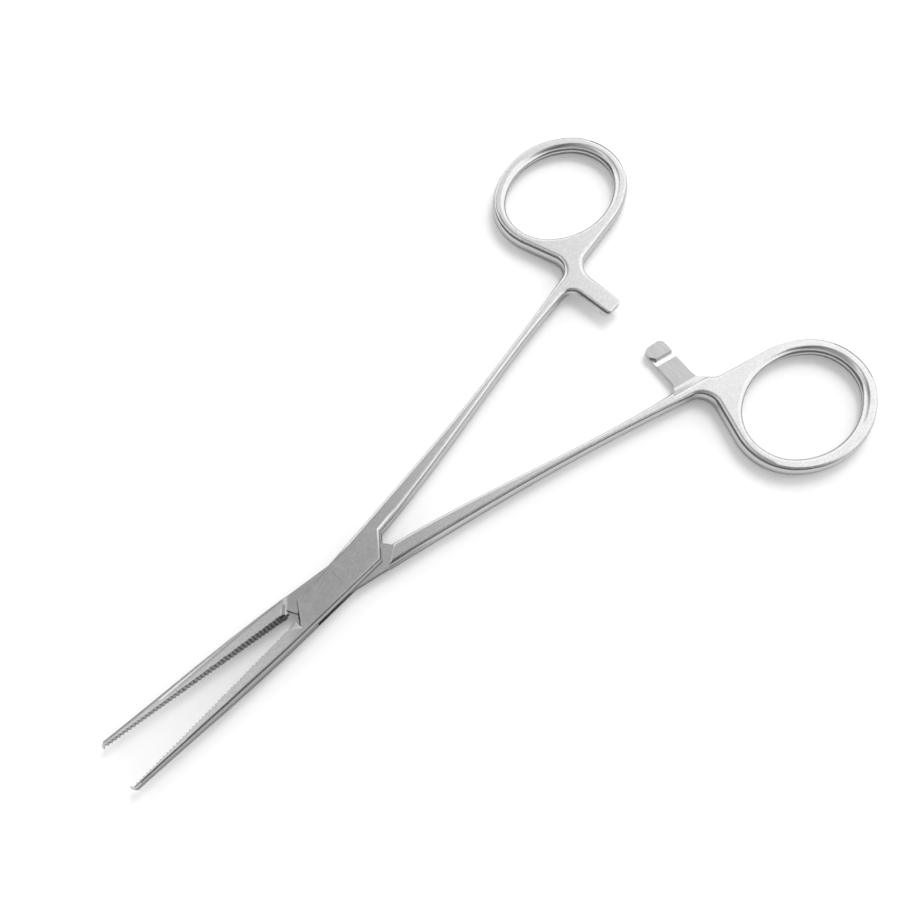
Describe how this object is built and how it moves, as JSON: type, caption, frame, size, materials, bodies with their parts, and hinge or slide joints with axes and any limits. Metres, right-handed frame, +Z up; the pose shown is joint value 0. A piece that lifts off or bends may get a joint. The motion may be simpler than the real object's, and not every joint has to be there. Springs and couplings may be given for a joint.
{
  "type": "hemostat forceps",
  "caption": "Straight ring-handled clamping forceps in satin steel, with a box lock, full-length cross serrations, toothed tips and ratchet arms, shown open.",
  "frame": {"origin": "lock pin's axis at the underside of the box, the highest-standing flat, on which the open forceps lies", "axes": "+X towards the jaw tips along the line halfway between the open jaws, +Y to the side of the box half's jaw, +Z up along the lock pin"},
  "size_m": [0.1572, 0.0954, 0.0044],
  "materials": {
    "satin_steel": "satin, with polished side walls",
    "pin_steel": "satin, ground flush"
  },
  "bodies": {
    "box_half": {"box_half": "satin_steel", "lock_pin": "pin_steel"},
    "web_half": {"web_half": "satin_steel"}
  },
  "joints": [
    {"name": "box_lock", "type": "hinge", "parent": "box_half", "child": "web_half", "pos_m": [0, 0, 0.0022], "axis": [0, 0, -1], "range_deg": [-10.5, 49.5]}
  ]
}
